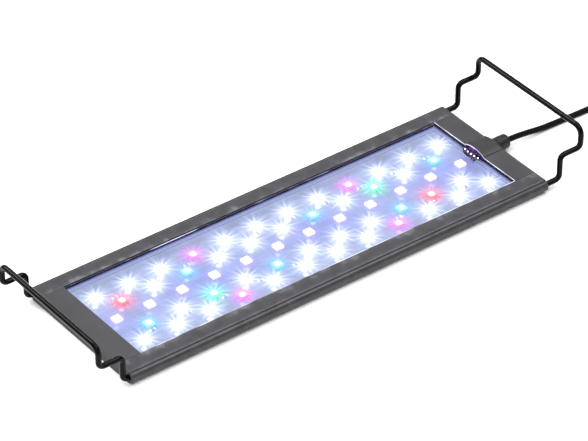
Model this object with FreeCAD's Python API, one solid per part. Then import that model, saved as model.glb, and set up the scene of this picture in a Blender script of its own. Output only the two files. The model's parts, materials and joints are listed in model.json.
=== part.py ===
import FreeCAD, Part
import math
import os

# Slim aquarium light lying on its back, LEDs up. Millimetres, +Z up, the back face on z = 0.
# X runs along the light with the power lead at the +X end, and the origin is the middle of the back.

# Driving dimensions of the body
body_length = 286.0
body_height = 8.0
window_length = 257.5
window_width = 72.5
rod_spacing = 90.4
rod_height = 4.1
bead_radius = 3.4
bead_shoulder = 1.1
shoulder_round = 0.9
crease_radius = 0.35
flange_thickness = 1.2
corner_round = 0.4

# Layers between the rails, from the back upwards
back_thickness = 0.8
back_tuck = 2.0
pad_thickness = 0.2
board_thickness = 1.0
board_gap = 0.4
cover_thickness = 1.2
cover_recess = 1.4
cover_tuck = 1.2
seal_width = 0.9
slide_clearance = 0.05

# LEDs: rows from the far side to the near side, one letter per LED
led_pitch = 21.6
led_side = 5.0
led_height = 1.5
led_cup_radius = 2.0
led_cup_depth = 0.3
led_rows = [
    {"y": 22.8, "shift": 1.8, "colours": "wwwmwwwwmwww"},
    {"y": 12.4, "shift": 1.1, "colours": "rwcwwwcwgwc"},
    {"y": 0.9, "shift": 0.5, "colours": "bbbbbbbbbbbb"},
    {"y": -12.4, "shift": 1.1, "colours": "cwgwcwwwcrw"},
    {"y": -22.8, "shift": 1.8, "colours": "wwwmwwwwmwww"},
]
led_nodes = {"w": "white_leds", "m": "magenta_leds", "r": "red_leds",
             "c": "cyan_leds", "g": "green_leds", "b": "moonlight_leds"}

# Chip resistors, one for each string of three LEDs, in two lines between the rows
resistor_length = 3.2
resistor_width = 1.6
resistor_height = 0.6
resistor_pitch = 24.0
resistors_in_line = 10
resistor_line_y = 17.6

# Leg wires: a double step on each side and a crossbar
wire_radius = 1.7
wire_bend = 3.2
crossbar_bend = 5.0
bend_gap = 0.4
step_out = 14.8
seat_rise = 15.4
crossbar_rise = 12.9
leg_travel = 75.0
right_leg_pull = 7.0
running_clearance = 0.05
flange_hole_clearance = 0.3
bore_radius = 2.4
bush_length = 18.0
stop_length = 4.0
stop_gap = 0.4
stop_clearance = 0.3

# Cap screws, driven from the back into the end caps
screw_radius = 1.0
screw_head_radius = 1.9
screw_head_height = 0.7
screw_length = 5.0
screw_spacing = 56.0
screw_inset = 6.0
recess_width = 0.5
recess_length = 2.2

# Cable, its hump and its strain relief
cable_radius = 1.75
gland_height = 5.4
gland_radius = 4.5
gland_tip_radius = 4.3
gland_inside = 7.0
gland_outside = 9.5
gland_grip = 6.0
gland_round = 1.0
hump_width = 17.0
hump_rise = 2.2
lead_radius = 0.5
lead_spacing = 2.0
lead_tunnel_radius = 1.9
lead_straight = 2.0
lead_reach = 1.6

# Route of the cable from the gland to the coil, and from the coil to the plug, with X from the gland's mouth
cable_route = [
    (-6.0, 0.0, 5.4),
    (4.5, 0.0, 5.4),
    (15.5, 0.2, 4.1),
    (27.0, 0.5, 2.1),
    (39.5, 0.4, 1.75),
    (52.5, -0.3, 1.75),
    (66.5, -0.5, 1.75),
    (79.5, 0.0, 1.75),
]
tail_route = [
    (109.5, -24.5, 12.25),
    (109.5, -34.5, 12.2),
    (109.8, -44.0, 10.2),
    (109.7, -53.0, 6.2),
    (109.5, -61.0, 4.6),
]
coil_place = (89.5, -23.5)
coil_columns = 3
coil_layers = 4
coil_turn_radius = 20.0
coil_round = 1.2
tie_width = 4.0
tie_thickness = 0.6

# Barrel plug on the far end
plug_radius = 4.6
plug_neck_radius = 2.6
plug_neck_length = 8.0
plug_grip_length = 16.0
plug_round = 0.6
barrel_radius = 2.75
barrel_length = 9.5
barrel_wall = 0.45
liner_wall = 0.8
pin_bore_radius = 1.05
contact_depth = 8.0

# Values worked out from the ones above
half_length = body_length / 2
rail_end = half_length - flange_thickness
half_window_length = window_length / 2
half_window_width = window_width / 2
rod_y = rod_spacing / 2
board_bottom = back_thickness + pad_thickness
board_top = board_bottom + board_thickness
cover_top = body_height - cover_recess
cover_bottom = cover_top - cover_thickness
riser_rest = half_length + bend_gap + wire_bend
rod_inner_end = rail_end - bush_length - leg_travel - stop_length - stop_gap
gland_inner = half_length - gland_inside
gland_outer = half_length + gland_outside
cable_diameter = 2 * cable_radius
coil_x = gland_outer + coil_place[0]
coil_y = coil_place[1]

pieces = {}


def vec(x, y, z):
    return FreeCAD.Vector(x, y, z)


def box(x0, x1, y0, y1, z0, z1):
    return Part.makeBox(x1 - x0, y1 - y0, z1 - z0, vec(x0, y0, z0))


def rod_along_x(radius, x0, x1, y, z):
    return Part.makeCylinder(radius, x1 - x0, vec(x0, y, z), vec(1, 0, 0))


def mirrored(shape, normal):
    return shape.mirror(vec(0, 0, 0), normal)


def group(shapes):
    return Part.makeCompound(shapes)


def edges_where(shape, test):
    return [edge for edge in shape.Edges if test(edge.BoundBox)]


def add(name, shape):
    pieces[name] = shape


def bent_path(points, tangents):
    """Straight runs joined by tangent arcs: tangents holds each corner's distance to its arc."""
    edges = []
    start = vec(*points[0])
    radii = []
    for before, corner, after, reach in zip(points, points[1:], points[2:], tangents):
        corner = vec(*corner)
        back = (vec(*before) - corner).normalize()
        ahead = (vec(*after) - corner).normalize()
        half_open = back.getAngle(ahead) / 2
        radius = reach * math.tan(half_open)
        middle_direction = (back + ahead).normalize()
        arc_start = corner + back * reach
        arc_middle = corner + middle_direction * (radius / math.sin(half_open) - radius)
        arc_end = corner + ahead * reach
        edges.append(Part.LineSegment(start, arc_start).toShape())
        edges.append(Part.Arc(arc_start, arc_middle, arc_end).toShape())
        start = arc_end
        radii.append(radius)
    edges.append(Part.LineSegment(start, vec(*points[-1])).toShape())
    return Part.Wire(edges), radii


def tube(path, radius):
    first = path.Edges[0]
    direction = first.tangentAt(first.FirstParameter)
    ring = Part.Wire(Part.makeCircle(radius, first.valueAt(first.FirstParameter), direction))
    return path.makePipeShell([ring], True, False)


def cord_tube(name, route):
    points = [(gland_outer + x, y, z) for x, y, z in route]
    tangents = []
    for before, corner, after in zip(points, points[1:], points[2:]):
        tangents.append(0.45 * min(math.dist(before, corner), math.dist(corner, after)))
    path, radii = bent_path(points, tangents)
    shape = tube(path, cable_radius)
    expected = math.pi * cable_radius ** 2 * path.Length
    print(name, "length", round(path.Length, 1), "radii", [round(radius) for radius in radii],
          "volume ratio", round(shape.Volume / expected, 4))
    add(name, shape)


def rail():
    """The far rail: a flat slab with a rounded shoulder, a crease and a bead that holds the rods."""
    outer = rod_y + bead_shoulder
    slab = box(-rail_end, rail_end, half_window_width, outer, 0, body_height)
    shoulder = edges_where(slab, lambda b: b.XLength > body_length / 2 and b.YMin > outer - 0.01
                           and b.ZMin > body_height - 0.01)
    slab = slab.makeFillet(shoulder_round, shoulder)
    under = box(-rail_end, rail_end, rod_y, outer, 0, rod_height)
    bead = rod_along_x(bead_radius, -rail_end, rail_end, rod_y, rod_height)
    shape = slab.cut(under).fuse(bead)
    crease_z = rod_height + math.sqrt(bead_radius ** 2 - bead_shoulder ** 2)
    shape = shape.cut(rod_along_x(crease_radius, -rail_end, rail_end, outer, crease_z))
    shape = shape.cut(rod_along_x(bore_radius, -rail_end, rail_end, rod_y, rod_height))
    shape = shape.cut(box(-rail_end, rail_end, half_window_width, half_window_width + back_tuck,
                          0, back_thickness))
    slot = box(-rail_end, rail_end, half_window_width, half_window_width + cover_tuck + slide_clearance,
               cover_bottom - slide_clearance, cover_top + slide_clearance)
    return shape.cut(slot).removeSplitter()


def end_cap():
    """A cap for the +X end: a block between the rails and a flange over the rails' ends."""
    inner = half_window_length
    reach_y = half_window_width - slide_clearance
    block = box(inner, rail_end, -reach_y, reach_y, back_thickness, body_height)
    flange = box(rail_end, half_length, -rod_y - bead_shoulder, rod_y + bead_shoulder, 0, body_height)
    lower = box(rail_end, half_length, rod_y, rod_y + bead_shoulder, 0, rod_height)
    flange = flange.cut(lower).cut(mirrored(lower, vec(0, 1, 0)))
    rims = edges_where(flange, lambda b: b.XLength > flange_thickness / 2
                       and b.ZMin > body_height - 0.01)
    flange = flange.makeFillet(shoulder_round, rims)
    for side in (-1, 1):
        flange = flange.fuse(rod_along_x(bead_radius, rail_end, half_length, side * rod_y, rod_height))
    flange = flange.removeSplitter()
    outer_rim = edges_where(flange, lambda b: b.XMin > half_length - 0.01)
    flange = flange.makeFillet(corner_round, outer_rim)
    cap = flange.fuse(block).removeSplitter()
    for side in (-1, 1):
        hole = rod_along_x(wire_radius + flange_hole_clearance, rail_end - 1, half_length + 1,
                           side * rod_y, rod_height)
        cap = cap.cut(hole)
        pilot = Part.makeCylinder(screw_radius, screw_length, vec(rail_end - screw_inset,
                                  side * screw_spacing / 2, 0))
        cap = cap.cut(pilot)
    slot = box(inner - 1, inner + cover_tuck + slide_clearance, -reach_y - 1, reach_y + 1,
               cover_bottom - slide_clearance, cover_top + slide_clearance)
    return cap.cut(slot)


def gland_seat():
    return rod_along_x(gland_radius, gland_inner, half_length + 1, 0, gland_height)


def cable_end_cap():
    """The +X cap with the gland's seat and the tunnel for the two leads."""
    tunnel_z = board_top + lead_tunnel_radius - 0.5
    tunnel = rod_along_x(lead_tunnel_radius, half_window_length - 1, gland_inner, 0, tunnel_z)
    return end_cap().cut(gland_seat()).cut(tunnel)


def gland_cover():
    """The arched hump along the +X cap, over the gland's seat."""
    left = vec(half_window_length, -hump_width / 2, body_height)
    right = vec(half_window_length, hump_width / 2, body_height)
    crown = vec(half_window_length, 0, body_height + hump_rise)
    outline = Part.Wire([Part.Arc(left, crown, right).toShape(), Part.LineSegment(right, left).toShape()])
    hump = Part.Face(outline).extrude(vec(half_length - half_window_length, 0, 0))
    return hump.cut(gland_seat())


def cap_screw(x, y):
    """A countersunk cross-head screw whose head is flush with the back face."""
    head = Part.makeCone(screw_head_radius, screw_radius, screw_head_height, vec(x, y, 0))
    shank = Part.makeCylinder(screw_radius, screw_length, vec(x, y, 0))
    shape = head.fuse(shank)
    for length, width in ((recess_length, recess_width), (recess_width, recess_length)):
        shape = shape.cut(box(x - length / 2, x + length / 2, y - width / 2, y + width / 2, 0,
                              screw_head_height / 2))
    return shape


def back_panel(screw_places):
    half_width = half_window_width + back_tuck - slide_clearance
    panel = box(-rail_end, rail_end, -half_width, half_width, 0, back_thickness)
    for x, y in screw_places:
        panel = panel.cut(Part.makeCone(screw_head_radius, screw_radius, screw_head_height, vec(x, y, 0)))
        panel = panel.cut(Part.makeCylinder(screw_radius, back_thickness, vec(x, y, 0)))
    return panel


def led(x, y):
    """One surface-mount LED package with its shallow round cup."""
    half = led_side / 2
    body = box(-half, half, -half, half, board_top, board_top + led_height)
    cup_bottom = board_top + led_height - led_cup_depth
    body = body.cut(Part.makeCone(led_cup_radius - led_cup_depth, led_cup_radius, led_cup_depth,
                                  vec(0, 0, cup_bottom)))
    body.translate(vec(x, y, 0))
    return body


def leds():
    by_node = {node: [] for node in led_nodes.values()}
    for row in led_rows:
        middle = (len(row["colours"]) - 1) / 2
        for index, colour in enumerate(row["colours"]):
            x = (index - middle) * led_pitch + row["shift"]
            by_node[led_nodes[colour]].append(led(x, row["y"]))
    for node, shapes in by_node.items():
        add(node, group(shapes))


def resistors():
    shapes = []
    for line in (-1, 1):
        for index in range(resistors_in_line):
            x = (index - (resistors_in_line - 1) / 2) * resistor_pitch
            y = line * resistor_line_y
            shapes.append(box(x - resistor_length / 2, x + resistor_length / 2,
                              y - resistor_width / 2, y + resistor_width / 2,
                              board_top, board_top + resistor_height))
    return group(shapes)


def leg_wire(pull):
    """The +X leg: two rods in the rails, a double step up on each side, and the crossbar."""
    riser = riser_rest + pull
    seat = rod_height + seat_rise
    top = seat + crossbar_rise
    outer = riser + step_out
    side = [(rod_inner_end + pull, rod_y, rod_height), (riser, rod_y, rod_height), (riser, rod_y, seat),
            (outer, rod_y, seat), (outer, rod_y, top)]
    points = side + [(x, -y, z) for x, y, z in reversed(side)]
    bends = [wire_bend, wire_bend, wire_bend, crossbar_bend]
    path, radii = bent_path(points, bends + bends[::-1])
    return tube(path, wire_radius)


def leg_stops(pull):
    """A collar pressed on each rod's inner end, which meets the bush when the leg is fully out."""
    shapes = []
    for side in (-1, 1):
        start = rod_inner_end + pull
        collar = rod_along_x(bore_radius - stop_clearance, start, start + stop_length, side * rod_y, rod_height)
        shapes.append(collar.cut(rod_along_x(wire_radius, start, start + stop_length, side * rod_y, rod_height)))
    return group(shapes)


def rod_bushes():
    shapes = []
    for side in (-1, 1):
        start = rail_end - bush_length
        bush = rod_along_x(bore_radius, start, rail_end, side * rod_y, rod_height)
        bore = rod_along_x(wire_radius + running_clearance, start - 1, rail_end + 1, side * rod_y, rod_height)
        shapes.append(bush.cut(bore))
    return group(shapes)


def cover_seal():
    """A soft strip under the cover's end, resting on the end cap's ledge side."""
    inner = half_window_length
    reach_y = half_window_width - slide_clearance
    return box(inner - seal_width, inner, -reach_y, reach_y, cover_bottom - seal_width, cover_bottom)


def gland():
    collar = rod_along_x(gland_radius, gland_inner, half_length, 0, gland_height)
    sleeve = Part.makeCone(gland_radius, gland_tip_radius, gland_outside, vec(half_length, 0, gland_height),
                           vec(1, 0, 0))
    mouth = edges_where(sleeve, lambda b: b.XMin > gland_outer - 0.01)
    sleeve = sleeve.makeFillet(gland_round, mouth)
    shape = collar.fuse(sleeve)
    return shape.cut(rod_along_x(cable_radius, gland_outer - gland_grip, gland_outer + 1, 0, gland_height))


def lead(side):
    """One insulated core from the gland down to its pad on the board."""
    y = side * lead_spacing / 2
    rest_z = board_top + lead_radius
    start_z = gland_height - gland_radius + lead_spacing
    points = [(gland_inner, y, start_z), (gland_inner - lead_straight, y, start_z),
              (half_window_length, y, rest_z), (half_window_length - lead_reach, y, rest_z)]
    path, radii = bent_path(points, [0.45 * lead_straight, 0.45 * lead_reach])
    return tube(path, lead_radius)


def cable_coil():
    width = coil_columns * cable_diameter
    height = coil_layers * cable_diameter
    inner = coil_turn_radius - width / 2
    outer = coil_turn_radius + width / 2
    centre = vec(coil_x, coil_y, 0)
    ring = Part.makeCylinder(outer, height, centre).cut(Part.makeCylinder(inner, height, centre))
    rims = [edge for edge in ring.Edges if edge.BoundBox.ZLength < 0.01 and edge.Closed]
    return ring.makeFillet(coil_round, rims)


def coil_tie():
    """A flat tie round the coil's turns, at the side away from the light."""
    half_bundle = coil_columns * cable_diameter / 2
    height = coil_layers * cable_diameter
    y = coil_y + coil_turn_radius
    outside = box(coil_x - tie_width / 2, coil_x + tie_width / 2, y - half_bundle - tie_thickness,
                  y + half_bundle + tie_thickness, 0, height + tie_thickness)
    inside = box(coil_x - tie_width, coil_x + tie_width, y - half_bundle, y + half_bundle,
                 tie_thickness, height)
    return outside.cut(inside)


def plug():
    """A barrel plug lying along -Y: moulded grip, metal barrel, insulating liner and centre contact."""
    x, y, z = tail_route[-1]
    x = gland_outer + x
    away = vec(0, -1, 0)
    neck_end = y - plug_neck_length
    grip_end = neck_end - plug_grip_length
    neck = Part.makeCone(plug_neck_radius, plug_radius, plug_neck_length, vec(x, y, z), away)
    grip = Part.makeCylinder(plug_radius, plug_grip_length, vec(x, neck_end, z), away)
    rim = edges_where(grip, lambda b: b.YMax < grip_end + 0.01)
    grip = grip.makeFillet(plug_round, rim)
    add("plug_grip", neck.fuse(grip))
    face = vec(x, grip_end, z)
    liner_radius = barrel_radius - barrel_wall
    contact_radius = liner_radius - liner_wall
    barrel = Part.makeCylinder(barrel_radius, barrel_length, face, away)
    add("plug_barrel", barrel.cut(Part.makeCylinder(liner_radius, barrel_length, face, away)))
    liner = Part.makeCylinder(liner_radius, barrel_length, face, away)
    add("plug_liner", liner.cut(Part.makeCylinder(contact_radius, barrel_length, face, away)))
    contact = Part.makeCylinder(contact_radius, contact_depth, face, away)
    add("plug_contact", contact.cut(Part.makeCylinder(pin_bore_radius, contact_depth, face, away)))


across = vec(1, 0, 0)
screw_x = rail_end - screw_inset
screw_places = [(x, y) for x in (-screw_x, screw_x) for y in (-screw_spacing / 2, screw_spacing / 2)]

# Housing
far_rail = rail()
add("far_rail", far_rail)
add("near_rail", mirrored(far_rail, vec(0, 1, 0)))
add("back_panel", back_panel(screw_places))
add("right_end_cap", cable_end_cap())
add("left_end_cap", mirrored(end_cap(), across))
add("left_cap_screws", group([cap_screw(x, y) for x, y in screw_places if x < 0]))
add("right_cap_screws", group([cap_screw(x, y) for x, y in screw_places if x > 0]))
add("right_rod_bushes", rod_bushes())
add("left_rod_bushes", mirrored(rod_bushes(), across))

# Board, LEDs and cover
board_x = half_window_length - board_gap
board_y = half_window_width - board_gap
cover_x = half_window_length + cover_tuck
cover_y = half_window_width + cover_tuck
add("thermal_pad", box(-board_x, board_x, -board_y, board_y, back_thickness, board_bottom))
add("led_board", box(-board_x, board_x, -board_y, board_y, board_bottom, board_top))
leds()
add("chip_resistors", resistors())
add("cover_sheet", box(-cover_x, cover_x, -cover_y, cover_y, cover_bottom, cover_top))
add("right_cover_seal", cover_seal())
add("left_cover_seal", mirrored(cover_seal(), across))

# Cable
add("gland_cover", gland_cover())
add("strain_relief", gland())
add("positive_lead", lead(1))
add("negative_lead", lead(-1))
cord_tube("cable_lead", cable_route)
add("cable_coil", cable_coil())
add("coil_tie", coil_tie())
cord_tube("cable_tail", tail_route)
plug()

# Legs: the left one is pushed fully in and the right one is pulled out a little
add("left_leg_wire", mirrored(leg_wire(0), across))
add("left_leg_stops", mirrored(leg_stops(0), across))
add("right_leg_wire", leg_wire(right_leg_pull))
add("right_leg_stops", leg_stops(right_leg_pull))

os.makedirs("parts", exist_ok=True)
for name, shape in pieces.items():
    if not shape.isValid():
        print("not valid:", name)
    shape.exportStep("parts/" + name + ".step")
print(len(pieces), "pieces")
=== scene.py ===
import bpy
import bmesh
import json
import math
import numpy as np
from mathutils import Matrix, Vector


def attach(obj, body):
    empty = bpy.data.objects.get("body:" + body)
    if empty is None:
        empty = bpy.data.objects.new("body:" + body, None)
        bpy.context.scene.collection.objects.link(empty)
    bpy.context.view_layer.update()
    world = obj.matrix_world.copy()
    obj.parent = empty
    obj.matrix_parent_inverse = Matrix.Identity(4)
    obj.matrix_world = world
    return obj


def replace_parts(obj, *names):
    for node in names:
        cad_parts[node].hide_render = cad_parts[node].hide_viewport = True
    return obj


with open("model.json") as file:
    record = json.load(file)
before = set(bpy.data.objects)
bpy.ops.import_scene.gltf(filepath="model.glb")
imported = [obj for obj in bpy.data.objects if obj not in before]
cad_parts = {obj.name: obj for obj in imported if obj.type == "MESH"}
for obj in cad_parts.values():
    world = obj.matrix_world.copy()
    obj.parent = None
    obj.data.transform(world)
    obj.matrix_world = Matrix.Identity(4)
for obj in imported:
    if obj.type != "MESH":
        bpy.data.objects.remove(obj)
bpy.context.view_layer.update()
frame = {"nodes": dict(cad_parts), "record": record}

mm = 0.001


# a grid of points P[i, j] becomes quads (i, j) (i+1, j) (i+1, j+1) (i, j+1)
def gridFaces(rows, columns, wrapRows=False, wrapColumns=False, start=0):
    i = np.arange(rows if wrapRows else rows - 1)
    j = np.arange(columns if wrapColumns else columns - 1)
    i, j = np.meshgrid(i, j, indexing="ij")
    i2, j2 = (i + 1) % rows, (j + 1) % columns
    quads = np.stack([i * columns + j, i2 * columns + j, i2 * columns + j2, i * columns + j2], axis=-1)
    return quads.reshape(-1, 4) + start


def addObject(name, data):
    made = bpy.data.objects.new(name, data)
    bpy.context.scene.collection.objects.link(made)
    return made


# all faces smooth, and an edge sharp where its faces meet at more than the given degrees
def shadeMesh(mesh, material, sharp):
    mesh.polygons.foreach_set("use_smooth", np.ones(len(mesh.polygons), dtype=bool))
    mesh.set_sharp_from_angle(angle=math.radians(sharp))
    mesh.materials.append(material)


def placePiece(name, points, faces, material, body="housing", sharp=35, weld=True):
    mesh = bpy.data.meshes.new(name)
    mesh.from_pydata(np.asarray(points, dtype=float).reshape(-1, 3).tolist(), [], faces)
    work = bmesh.new()
    work.from_mesh(mesh)
    if weld:
        bmesh.ops.remove_doubles(work, verts=work.verts, dist=1e-6)
    bmesh.ops.recalc_face_normals(work, faces=work.faces)
    work.to_mesh(mesh)
    work.free()
    shadeMesh(mesh, material, sharp)
    piece = addObject(name, mesh)
    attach(piece, body)
    return piece


# points on an arc: centre + radius * (cos a, sin a), a from one angle to the other in degrees
def arc(centre, radius, fromAngle, toAngle, count=10):
    a = np.radians(np.linspace(fromAngle, toAngle, count))
    return np.stack([centre[0] + radius * np.cos(a), centre[1] + radius * np.sin(a)], axis=-1)


# a profile (distance along, radius) turned about an axis: P = origin + s * axis + r (cos t u + sin t v)
def turned(name, profile, origin, axis, material, body="housing", sides=48, sharp=35):
    axis = Vector(axis).normalized()
    u = axis.orthogonal().normalized()
    v = axis.cross(u)
    profile = np.asarray(profile, dtype=float)
    t = np.linspace(0, 2 * math.pi, sides, endpoint=False)
    ring = np.cos(t)[:, None] * np.array(u) + np.sin(t)[:, None] * np.array(v)
    points = np.array(origin) + profile[:, None, :1] * np.array(axis) + profile[:, None, 1:] * ring[None]
    faces = gridFaces(len(profile), sides, wrapColumns=True).tolist()
    for row in (0, len(profile) - 1):
        if profile[row, 1] > 1e-6:
            faces.append(list(range(row * sides, (row + 1) * sides)))
    return placePiece(name, points * mm, faces, material, body, sharp)


# a round wire along a path: at each path point C the tangent T and a carried normal N, with B = T x N, give
# P = C + r (cos t N + sin t B); a face closes each end
def closedTube(path, radius, sides=20):
    tangent = np.gradient(path, axis=0)
    tangent /= np.linalg.norm(tangent, axis=1)[:, None]
    normals = [np.array(Vector(tangent[0]).orthogonal().normalized())]
    for t in tangent[1:]:                      # the normal is carried from point to point without twist
        n = normals[-1] - t * np.dot(normals[-1], t)
        normals.append(n / np.linalg.norm(n))
    normal = np.array(normals)
    side = np.cross(tangent, normal)
    t = np.linspace(0, 2 * math.pi, sides, endpoint=False)
    grid = path[:, None] + radius * (np.cos(t)[None, :, None] * normal[:, None]
                                     + np.sin(t)[None, :, None] * side[:, None])
    faces = gridFaces(len(path), sides, wrapColumns=True).tolist()
    last = (len(path) - 1) * sides
    return grid, faces + [list(range(sides)), list(range(last, last + sides))]


# two sheets with the same grid become one closed solid: the quads of both, and quads (a, b, b', a') between their rims
def closedSheets(upper, lower, closeColumns=True):
    rows, columns = upper.shape[:2]
    base = rows * columns
    faces = gridFaces(rows, columns).tolist() + gridFaces(rows, columns, start=base)[:, ::-1].tolist()
    rims = [(row + np.arange(columns - 1), 1) for row in (0, (rows - 1) * columns)]
    if closeColumns:
        rims += [(column + np.arange(rows - 1) * columns, columns) for column in (0, columns - 1)]
    for first, step in rims:
        faces += np.stack([first, first + step, base + first + step, base + first], axis=-1).tolist()
    return np.concatenate([upper.reshape(-1, 3), lower.reshape(-1, 3)]), faces


# straight runs with a round bend of the given radius at each inner point
def bentPath(points, bends, steps=12):
    points = np.asarray(points, dtype=float)
    parts = [points[:1]]
    for before, corner, after, radius in zip(points[:-2], points[1:-1], points[2:], bends):
        back = (before - corner) / np.linalg.norm(before - corner)
        ahead = (after - corner) / np.linalg.norm(after - corner)
        half = math.acos(float(np.clip(np.dot(back, ahead), -1, 1))) / 2
        reach = radius / math.tan(half)
        centre = corner + (back + ahead) / np.linalg.norm(back + ahead) * radius / math.sin(half)
        mix = np.linspace(0, 1, steps)[:, None]
        a = corner + back * reach - centre
        b = corner + ahead * reach - centre
        turn = math.pi - 2 * half
        parts.append(centre + (np.sin((1 - mix) * turn) * a + np.sin(mix * turn) * b) / math.sin(turn))
    parts.append(points[-1:])
    return np.concatenate(parts)


# a copy of a CAD node with its doubles merged and its sharp edges kept, so that round faces shade round
def smoothCopy(name, node, material, sharp=30):
    mesh = frame["nodes"][node].data.copy()
    mesh.name = name
    work = bmesh.new()
    work.from_mesh(mesh)
    bmesh.ops.remove_doubles(work, verts=work.verts, dist=1e-6)
    work.to_mesh(mesh)
    work.free()
    mesh.materials.clear()
    mesh.polygons.foreach_set("material_index", np.zeros(len(mesh.polygons), dtype=np.int32))
    shadeMesh(mesh, material, sharp)
    piece = addObject(name, mesh)
    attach(piece, bodyOf(node))
    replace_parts(piece, node)
    return piece


def bodyOf(node):
    for body, nodes in frame["record"]["behaviour"]["bodies"].items():
        if node in nodes:
            return body
    return "housing"


# a hex sRGB colour turned linear
def colour(code):
    channels = [int(code[i:i + 2], 16) / 255 for i in (1, 3, 5)]
    linear = [c / 12.92 if c <= 0.04045 else ((c + 0.055) / 1.055) ** 2.4 for c in channels]
    return (*linear, 1.0)


# adds one node, with its socket values, its properties, its colour stops and its links
def addNode(tree, kind, settings=None, links=None):
    node = tree.nodes.new(kind)
    for key, value in (settings or {}).items():
        if key == "stops":
            elements = node.color_ramp.elements
            elements[0].position, elements[0].color = value[0]
            elements[1].position, elements[1].color = value[-1]
            for position, tint in value[1:-1]:
                elements.new(position).color = tint
        elif isinstance(key, int) or key in node.inputs:
            node.inputs[key].default_value = value
        else:
            setattr(node, key, value)
    for key, source in (links or {}).items():
        tree.links.new(source, node.inputs[key])
    return node


def newMaterial(name, settings):
    material = bpy.data.materials.new(name)
    material.use_nodes = True
    tree = material.node_tree
    shader = tree.nodes["Principled BSDF"]
    for key, value in settings.items():
        shader.inputs[key].default_value = value
    return material, tree, shader


def setNode(name, material):
    for slot in frame["nodes"][name].material_slots:
        slot.material = material


# satin anodised aluminium: a dark grey dyed oxide layer, blasted before it is dyed, so a fine soft grain; the
# top carries painted light: its colour is lighter in patches near the window's edge, where the light spills over it
anodised = {"dark": "#343437", "middle": "#46464a", "light": "#6c6c72", "metallic": 0.35, "roughness": 0.34,
            "grain": 0.5, "cloud": 7, "edge": 36.3, "fade": 5.0}


def anodisedAluminium():
    material, tree, shader = newMaterial("satinAnodisedAluminium", {"Metallic": anodised["metallic"],
                                         "Specular IOR Level": 0.3})
    place = addNode(tree, "ShaderNodeTexCoord").outputs["Object"]
    clouds = addNode(tree, "ShaderNodeTexNoise", {"Scale": 1 / (anodised["cloud"] * mm), "Detail": 3},
                     {"Vector": place})
    grain = addNode(tree, "ShaderNodeTexNoise", {"Scale": 1 / (anodised["grain"] * mm), "Detail": 2},
                    {"Vector": place})
    split = addNode(tree, "ShaderNodeSeparateXYZ", None, {"Vector": place})
    away = addNode(tree, "ShaderNodeMath", {"operation": "ABSOLUTE"}, {0: split.outputs["Y"]})
    # painted light: the tint factor grows by up to 60 % at the window's edge and fades out over the fade distance
    paintedSpill = addNode(tree, "ShaderNodeMapRange", {"From Min": anodised["edge"] * mm, "To Min": 0.6, "To Max": 0.0,
                    "From Max": (anodised["edge"] + anodised["fade"]) * mm}, {"Value": away.outputs["Value"]})
    shade = addNode(tree, "ShaderNodeMath", {"operation": "MULTIPLY_ADD"},
                    {0: clouds.outputs["Fac"], 1: paintedSpill.outputs["Result"], 2: clouds.outputs["Fac"]})
    tint = addNode(tree, "ShaderNodeValToRGB", {"stops": [(0.2, colour(anodised["dark"])),
                   (0.7, colour(anodised["middle"])), (1.0, colour(anodised["light"]))]},
                   {"Fac": shade.outputs["Value"]})
    tree.links.new(tint.outputs["Color"], shader.inputs["Base Color"])
    rough = addNode(tree, "ShaderNodeMapRange", {"To Min": anodised["roughness"] - 0.07,
                    "To Max": anodised["roughness"] + 0.07}, {"Value": grain.outputs["Fac"]})
    tree.links.new(rough.outputs["Result"], shader.inputs["Roughness"])
    bump = addNode(tree, "ShaderNodeBump", {"Strength": 0.2, "Distance": 0.02 * mm},
                   {"Height": grain.outputs["Fac"]})
    tree.links.new(bump.outputs["Normal"], shader.inputs["Normal"])
    return material


# injection-moulded plastic or rubber: a fine spark-eroded texture over broad, faint changes of shade
def moulded(name, dark, light, roughness, grain=0.4, height=0.03, shine=0.25):
    material, tree, shader = newMaterial(name, {"IOR": 1.5, "Roughness": roughness, "Specular IOR Level": shine})
    place = addNode(tree, "ShaderNodeTexCoord").outputs["Object"]
    texture = addNode(tree, "ShaderNodeTexNoise", {"Scale": 1 / (grain * mm), "Detail": 4, "Roughness": 0.6},
                      {"Vector": place})
    broad = addNode(tree, "ShaderNodeTexNoise", {"Scale": 1 / (35 * mm), "Detail": 2}, {"Vector": place})
    tint = addNode(tree, "ShaderNodeValToRGB", {"stops": [(0.3, colour(dark)), (0.7, colour(light))]},
                   {"Fac": broad.outputs["Fac"]})
    tree.links.new(tint.outputs["Color"], shader.inputs["Base Color"])
    bump = addNode(tree, "ShaderNodeBump", {"Strength": 0.2, "Distance": height * mm},
                   {"Height": texture.outputs["Fac"]})
    tree.links.new(bump.outputs["Normal"], shader.inputs["Normal"])
    return material


# powder-dipped steel wire: a glossy black skin, slightly wavy from the dip, so highlights run thin and broken
def glossBlackWire():
    material, tree, shader = newMaterial("glossBlackWire", {"IOR": 1.5, "Roughness": 0.1,
                                         "Specular IOR Level": 0.1})
    place = addNode(tree, "ShaderNodeTexCoord").outputs["Object"]
    waves = addNode(tree, "ShaderNodeTexNoise", {"Scale": 1 / (3 * mm), "Detail": 2}, {"Vector": place})
    tint = addNode(tree, "ShaderNodeValToRGB", {"stops": [(0.3, colour("#030304")), (0.7, colour("#08080a"))]},
                   {"Fac": waves.outputs["Fac"]})
    tree.links.new(tint.outputs["Color"], shader.inputs["Base Color"])
    bump = addNode(tree, "ShaderNodeBump", {"Strength": 0.1, "Distance": 0.05 * mm},
                   {"Height": waves.outputs["Fac"]})
    tree.links.new(bump.outputs["Normal"], shader.inputs["Normal"])
    return material


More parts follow.
